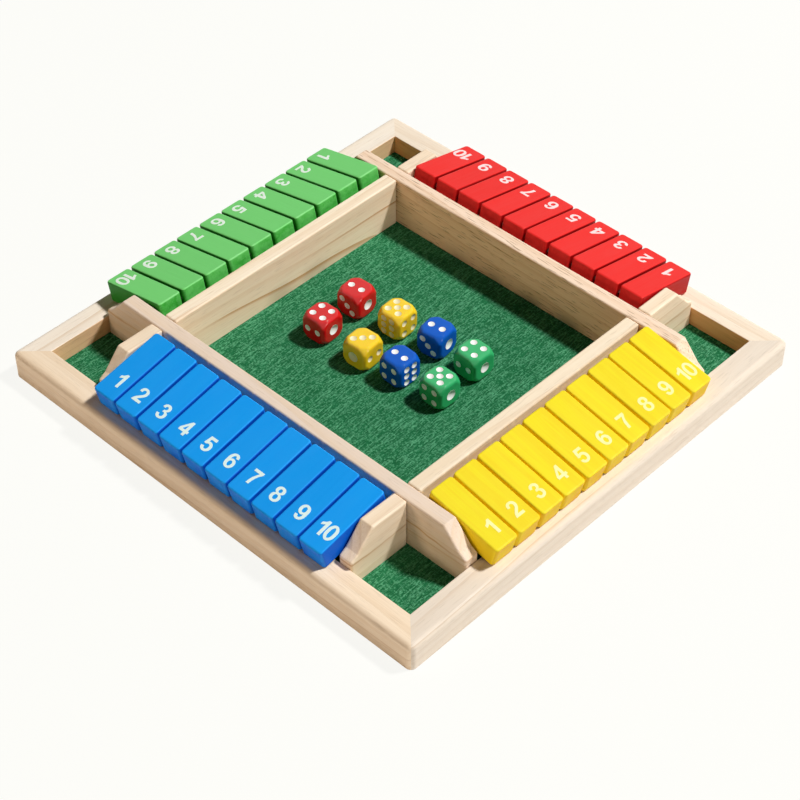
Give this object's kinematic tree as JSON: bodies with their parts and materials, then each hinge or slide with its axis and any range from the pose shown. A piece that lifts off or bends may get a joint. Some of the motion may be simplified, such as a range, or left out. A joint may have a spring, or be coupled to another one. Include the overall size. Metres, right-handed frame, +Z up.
{
  "type": "number dice game",
  "caption": "Square wooden tray game: a felt-lined dice arena, rows of coloured number tiles that flip on hidden rods along each side, corner dice pockets and loose dice.",
  "frame": {"origin": "centre of the tray's underside, on the surface that it stands on", "axes": "+Z up; -Y towards the blue row, +X towards yellow, +Y towards red, -X towards green"},
  "size_m": [0.3, 0.3, 0.0394],
  "materials": {
    "pine": "pale sanded pine",
    "panel_wood": "thin plywood",
    "felt": "mid-green felt",
    "rod_steel": "drawn steel rod",
    "tile_blue": "satin blue paint on wood",
    "tile_yellow": "satin yellow paint on wood",
    "tile_red": "satin red paint on wood",
    "tile_green": "satin green paint on wood",
    "die_red": "polished red plastic",
    "die_yellow": "polished yellow plastic",
    "die_blue": "polished blue plastic",
    "die_green": "polished green plastic",
    "white_paint": "white paint of the numbers and pips"
  },
  "bodies": {
    "tray": {"base_panel": "panel_wood", "felt_lining": "felt", "rail_blue": "pine", "rail_yellow": "pine", "rail_red": "pine", "rail_green": "pine", "long_wall_blue": "pine", "long_wall_red": "pine", "short_wall_yellow": "pine", "short_wall_green": "pine", "row_end_plates": "pine", "pivot_rods": "rod_steel"},
    "blue_tile_1": {"blue_tile_1": "tile_blue"},
    "blue_tile_2": {"blue_tile_2": "tile_blue"},
    "blue_tile_3": {"blue_tile_3": "tile_blue"},
    "blue_tile_4": {"blue_tile_4": "tile_blue"},
    "blue_tile_5": {"blue_tile_5": "tile_blue"},
    "blue_tile_6": {"blue_tile_6": "tile_blue"},
    "blue_tile_7": {"blue_tile_7": "tile_blue"},
    "blue_tile_8": {"blue_tile_8": "tile_blue"},
    "blue_tile_9": {"blue_tile_9": "tile_blue"},
    "blue_tile_10": {"blue_tile_10": "tile_blue"},
    "yellow_tile_1": {"yellow_tile_1": "tile_yellow"},
    "yellow_tile_2": {"yellow_tile_2": "tile_yellow"},
    "yellow_tile_3": {"yellow_tile_3": "tile_yellow"},
    "yellow_tile_4": {"yellow_tile_4": "tile_yellow"},
    "yellow_tile_5": {"yellow_tile_5": "tile_yellow"},
    "yellow_tile_6": {"yellow_tile_6": "tile_yellow"},
    "yellow_tile_7": {"yellow_tile_7": "tile_yellow"},
    "yellow_tile_8": {"yellow_tile_8": "tile_yellow"},
    "yellow_tile_9": {"yellow_tile_9": "tile_yellow"},
    "yellow_tile_10": {"yellow_tile_10": "tile_yellow"},
    "red_tile_1": {"red_tile_1": "tile_red"},
    "red_tile_2": {"red_tile_2": "tile_red"},
    "red_tile_3": {"red_tile_3": "tile_red"},
    "red_tile_4": {"red_tile_4": "tile_red"},
    "red_tile_5": {"red_tile_5": "tile_red"},
    "red_tile_6": {"red_tile_6": "tile_red"},
    "red_tile_7": {"red_tile_7": "tile_red"},
    "red_tile_8": {"red_tile_8": "tile_red"},
    "red_tile_9": {"red_tile_9": "tile_red"},
    "red_tile_10": {"red_tile_10": "tile_red"},
    "green_tile_1": {"green_tile_1": "tile_green"},
    "green_tile_2": {"green_tile_2": "tile_green"},
    "green_tile_3": {"green_tile_3": "tile_green"},
    "green_tile_4": {"green_tile_4": "tile_green"},
    "green_tile_5": {"green_tile_5": "tile_green"},
    "green_tile_6": {"green_tile_6": "tile_green"},
    "green_tile_7": {"green_tile_7": "tile_green"},
    "green_tile_8": {"green_tile_8": "tile_green"},
    "green_tile_9": {"green_tile_9": "tile_green"},
    "green_tile_10": {"green_tile_10": "tile_green"},
    "die_red_1": {"die_red_1": "die_red"},
    "die_red_2": {"die_red_2": "die_red"},
    "die_yellow_1": {"die_yellow_1": "die_yellow"},
    "die_yellow_2": {"die_yellow_2": "die_yellow"},
    "die_blue_1": {"die_blue_1": "die_blue"},
    "die_blue_2": {"die_blue_2": "die_blue"},
    "die_green_1": {"die_green_1": "die_green"},
    "die_green_2": {"die_green_2": "die_green"}
  },
  "joints": [
    {"name": "blue_tile_1_flip", "type": "hinge", "parent": "tray", "child": "blue_tile_1", "pos_m": [-0.07707, -0.10282, 0.03243], "axis": [-1, 0, 0], "range_deg": [0, 116.5]},
    {"name": "blue_tile_2_flip", "type": "hinge", "parent": "tray", "child": "blue_tile_2", "pos_m": [-0.06017, -0.10282, 0.03243], "axis": [-1, 0, 0], "range_deg": [0, 116.5]},
    {"name": "blue_tile_3_flip", "type": "hinge", "parent": "tray", "child": "blue_tile_3", "pos_m": [-0.04276, -0.10282, 0.03243], "axis": [-1, 0, 0], "range_deg": [0, 116.5]},
    {"name": "blue_tile_4_flip", "type": "hinge", "parent": "tray", "child": "blue_tile_4", "pos_m": [-0.02575, -0.10282, 0.03243], "axis": [-1, 0, 0], "range_deg": [0, 116.5]},
    {"name": "blue_tile_5_flip", "type": "hinge", "parent": "tray", "child": "blue_tile_5", "pos_m": [-0.00865, -0.10282, 0.03243], "axis": [-1, 0, 0], "range_deg": [0, 116.5]},
    {"name": "blue_tile_6_flip", "type": "hinge", "parent": "tray", "child": "blue_tile_6", "pos_m": [0.00872, -0.10282, 0.03243], "axis": [-1, 0, 0], "range_deg": [0, 116.5]},
    {"name": "blue_tile_7_flip", "type": "hinge", "parent": "tray", "child": "blue_tile_7", "pos_m": [0.02559, -0.10282, 0.03243], "axis": [-1, 0, 0], "range_deg": [0, 116.5]},
    {"name": "blue_tile_8_flip", "type": "hinge", "parent": "tray", "child": "blue_tile_8", "pos_m": [0.04293, -0.10282, 0.03243], "axis": [-1, 0, 0], "range_deg": [0, 116.5]},
    {"name": "blue_tile_9_flip", "type": "hinge", "parent": "tray", "child": "blue_tile_9", "pos_m": [0.06008, -0.10282, 0.03243], "axis": [-1, 0, 0], "range_deg": [0, 116.5]},
    {"name": "blue_tile_10_flip", "type": "hinge", "parent": "tray", "child": "blue_tile_10", "pos_m": [0.07704, -0.10282, 0.03243], "axis": [-1, 0, 0], "range_deg": [0, 116.5]},
    {"name": "yellow_tile_1_flip", "type": "hinge", "parent": "tray", "child": "yellow_tile_1", "pos_m": [0.10282, -0.07721, 0.03243], "axis": [0, -1, 0], "range_deg": [0, 116.5]},
    {"name": "yellow_tile_2_flip", "type": "hinge", "parent": "tray", "child": "yellow_tile_2", "pos_m": [0.10282, -0.0601, 0.03243], "axis": [0, -1, 0], "range_deg": [0, 116.5]},
    {"name": "yellow_tile_3_flip", "type": "hinge", "parent": "tray", "child": "yellow_tile_3", "pos_m": [0.10282, -0.04273, 0.03243], "axis": [0, -1, 0], "range_deg": [0, 116.5]},
    {"name": "yellow_tile_4_flip", "type": "hinge", "parent": "tray", "child": "yellow_tile_4", "pos_m": [0.10282, -0.02586, 0.03243], "axis": [0, -1, 0], "range_deg": [0, 116.5]},
    {"name": "yellow_tile_5_flip", "type": "hinge", "parent": "tray", "child": "yellow_tile_5", "pos_m": [0.10282, -0.00851, 0.03243], "axis": [0, -1, 0], "range_deg": [0, 116.5]},
    {"name": "yellow_tile_6_flip", "type": "hinge", "parent": "tray", "child": "yellow_tile_6", "pos_m": [0.10282, 0.00862, 0.03243], "axis": [0, -1, 0], "range_deg": [0, 116.5]},
    {"name": "yellow_tile_7_flip", "type": "hinge", "parent": "tray", "child": "yellow_tile_7", "pos_m": [0.10282, 0.02559, 0.03243], "axis": [0, -1, 0], "range_deg": [0, 116.5]},
    {"name": "yellow_tile_8_flip", "type": "hinge", "parent": "tray", "child": "yellow_tile_8", "pos_m": [0.10282, 0.04302, 0.03243], "axis": [0, -1, 0], "range_deg": [0, 116.5]},
    {"name": "yellow_tile_9_flip", "type": "hinge", "parent": "tray", "child": "yellow_tile_9", "pos_m": [0.10282, 0.05994, 0.03243], "axis": [0, -1, 0], "range_deg": [0, 116.5]},
    {"name": "yellow_tile_10_flip", "type": "hinge", "parent": "tray", "child": "yellow_tile_10", "pos_m": [0.10282, 0.07716, 0.03243], "axis": [0, -1, 0], "range_deg": [0, 116.5]},
    {"name": "red_tile_1_flip", "type": "hinge", "parent": "tray", "child": "red_tile_1", "pos_m": [0.07732, 0.10282, 0.03243], "axis": [1, 0, 0], "range_deg": [0, 116.5]},
    {"name": "red_tile_2_flip", "type": "hinge", "parent": "tray", "child": "red_tile_2", "pos_m": [0.05995, 0.10282, 0.03243], "axis": [1, 0, 0], "range_deg": [0, 116.5]},
    {"name": "red_tile_3_flip", "type": "hinge", "parent": "tray", "child": "red_tile_3", "pos_m": [0.04284, 0.10282, 0.03243], "axis": [1, 0, 0], "range_deg": [0, 116.5]},
    {"name": "red_tile_4_flip", "type": "hinge", "parent": "tray", "child": "red_tile_4", "pos_m": [0.02585, 0.10282, 0.03243], "axis": [1, 0, 0], "range_deg": [0, 116.5]},
    {"name": "red_tile_5_flip", "type": "hinge", "parent": "tray", "child": "red_tile_5", "pos_m": [0.00843, 0.10282, 0.03243], "axis": [1, 0, 0], "range_deg": [0, 116.5]},
    {"name": "red_tile_6_flip", "type": "hinge", "parent": "tray", "child": "red_tile_6", "pos_m": [-0.00848, 0.10282, 0.03243], "axis": [1, 0, 0], "range_deg": [0, 116.5]},
    {"name": "red_tile_7_flip", "type": "hinge", "parent": "tray", "child": "red_tile_7", "pos_m": [-0.02572, 0.10282, 0.03243], "axis": [1, 0, 0], "range_deg": [0, 116.5]},
    {"name": "red_tile_8_flip", "type": "hinge", "parent": "tray", "child": "red_tile_8", "pos_m": [-0.04298, 0.10282, 0.03243], "axis": [1, 0, 0], "range_deg": [0, 116.5]},
    {"name": "red_tile_9_flip", "type": "hinge", "parent": "tray", "child": "red_tile_9", "pos_m": [-0.05987, 0.10282, 0.03243], "axis": [1, 0, 0], "range_deg": [0, 116.5]},
    {"name": "red_tile_10_flip", "type": "hinge", "parent": "tray", "child": "red_tile_10", "pos_m": [-0.07729, 0.10282, 0.03243], "axis": [1, 0, 0], "range_deg": [0, 116.5]},
    {"name": "green_tile_1_flip", "type": "hinge", "parent": "tray", "child": "green_tile_1", "pos_m": [-0.10282, 0.07729, 0.03243], "axis": [0, 1, 0], "range_deg": [0, 116.5]},
    {"name": "green_tile_2_flip", "type": "hinge", "parent": "tray", "child": "green_tile_2", "pos_m": [-0.10282, 0.05987, 0.03243], "axis": [0, 1, 0], "range_deg": [0, 116.5]},
    {"name": "green_tile_3_flip", "type": "hinge", "parent": "tray", "child": "green_tile_3", "pos_m": [-0.10282, 0.04298, 0.03243], "axis": [0, 1, 0], "range_deg": [0, 116.5]},
    {"name": "green_tile_4_flip", "type": "hinge", "parent": "tray", "child": "green_tile_4", "pos_m": [-0.10282, 0.02572, 0.03243], "axis": [0, 1, 0], "range_deg": [0, 116.5]},
    {"name": "green_tile_5_flip", "type": "hinge", "parent": "tray", "child": "green_tile_5", "pos_m": [-0.10282, 0.00848, 0.03243], "axis": [0, 1, 0], "range_deg": [0, 116.5]},
    {"name": "green_tile_6_flip", "type": "hinge", "parent": "tray", "child": "green_tile_6", "pos_m": [-0.10282, -0.00843, 0.03243], "axis": [0, 1, 0], "range_deg": [0, 116.5]},
    {"name": "green_tile_7_flip", "type": "hinge", "parent": "tray", "child": "green_tile_7", "pos_m": [-0.10282, -0.02585, 0.03243], "axis": [0, 1, 0], "range_deg": [0, 116.5]},
    {"name": "green_tile_8_flip", "type": "hinge", "parent": "tray", "child": "green_tile_8", "pos_m": [-0.10282, -0.04284, 0.03243], "axis": [0, 1, 0], "range_deg": [0, 116.5]},
    {"name": "green_tile_9_flip", "type": "hinge", "parent": "tray", "child": "green_tile_9", "pos_m": [-0.10282, -0.05995, 0.03243], "axis": [0, 1, 0], "range_deg": [0, 116.5]},
    {"name": "green_tile_10_flip", "type": "hinge", "parent": "tray", "child": "green_tile_10", "pos_m": [-0.10282, -0.07732, 0.03243], "axis": [0, 1, 0], "range_deg": [0, 116.5]},
    {"name": "die_red_1_lift", "type": "slide", "parent": "tray", "child": "die_red_1", "axis": [0, 0, 1], "range_m": [0, 0.06]},
    {"name": "die_red_2_lift", "type": "slide", "parent": "tray", "child": "die_red_2", "axis": [0, 0, 1], "range_m": [0, 0.06]},
    {"name": "die_yellow_1_lift", "type": "slide", "parent": "tray", "child": "die_yellow_1", "axis": [0, 0, 1], "range_m": [0, 0.06]},
    {"name": "die_yellow_2_lift", "type": "slide", "parent": "tray", "child": "die_yellow_2", "axis": [0, 0, 1], "range_m": [0, 0.06]},
    {"name": "die_blue_1_lift", "type": "slide", "parent": "tray", "child": "die_blue_1", "axis": [0, 0, 1], "range_m": [0, 0.06]},
    {"name": "die_blue_2_lift", "type": "slide", "parent": "tray", "child": "die_blue_2", "axis": [0, 0, 1], "range_m": [0, 0.06]},
    {"name": "die_green_1_lift", "type": "slide", "parent": "tray", "child": "die_green_1", "axis": [0, 0, 1], "range_m": [0, 0.06]},
    {"name": "die_green_2_lift", "type": "slide", "parent": "tray", "child": "die_green_2", "axis": [0, 0, 1], "range_m": [0, 0.06]}
  ]
}
